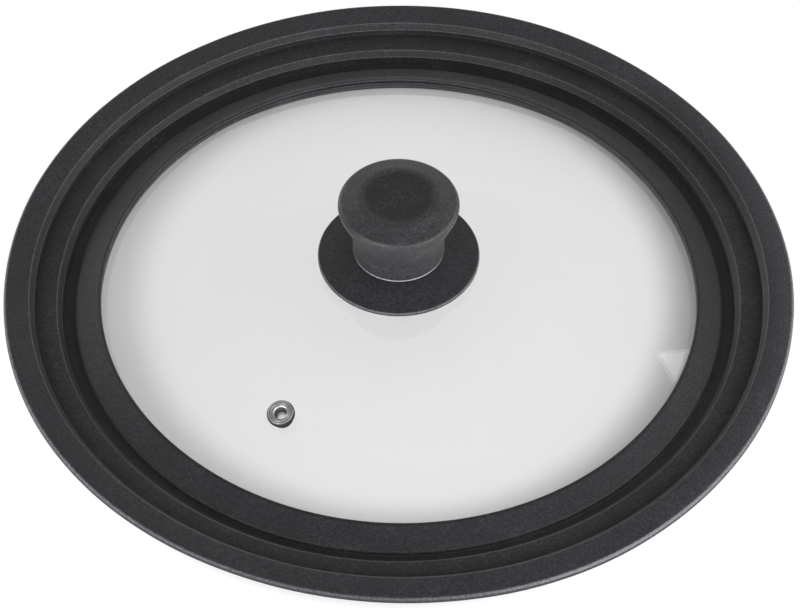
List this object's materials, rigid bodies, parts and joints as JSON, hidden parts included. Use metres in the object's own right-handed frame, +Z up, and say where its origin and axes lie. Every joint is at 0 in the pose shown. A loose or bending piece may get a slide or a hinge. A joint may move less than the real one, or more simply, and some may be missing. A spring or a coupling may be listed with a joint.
{
  "type": "universal glass pan lid",
  "caption": "Domed glass lid with a stepped silicone rim for pans of three sizes, a round soft-skinned knob held by a screw from below, and a steel steam vent.",
  "frame": {"origin": "on the lid's axis, in the plane of the rim's lowest edge", "axes": "+Z up along the lid's axis, from the rim to the knob; the vent lies towards -X and -Y"},
  "size_m": [0.296, 0.296, 0.066],
  "materials": {
    "clear_glass": "tempered, polished both sides",
    "rim_silicone": "matt moulded silicone, slightly dusty",
    "gasket_silicone": "smooth silicone",
    "soft_skin": "soft-touch, satin",
    "black_nylon": "fine moulded grain",
    "stainless_steel": "turned, satin",
    "insert_brass": "turned"
  },
  "bodies": {
    "lid": {"glass_dome": "clear_glass", "rim_seal": "rim_silicone", "knob_skirt": "black_nylon", "skirt_gasket": "gasket_silicone", "screw_bush": "gasket_silicone", "backing_washer": "stainless_steel", "spring_washer": "stainless_steel", "vent_eyelet": "stainless_steel", "vent_gasket": "gasket_silicone", "vent_under_gasket": "gasket_silicone", "vent_back_washer": "stainless_steel"},
    "screw": {"knob_screw": "stainless_steel"},
    "knob": {"knob_core": "black_nylon", "knob_grip": "soft_skin", "thread_insert": "insert_brass"}
  },
  "joints": [
    {"name": "knob_rise", "type": "slide", "parent": "lid", "child": "knob", "axis": [0, 0, 1], "range_m": [0, 0.012]},
    {"name": "screw_turn", "type": "hinge", "parent": "lid", "child": "screw", "pos_m": [0, 0, 0.027], "axis": [0, 0, -1], "range_deg": [0, 5400]}
  ],
  "couplings": [
    {"joint": "screw_turn", "follows": "knob_rise", "rad_per_m": 7854}
  ]
}
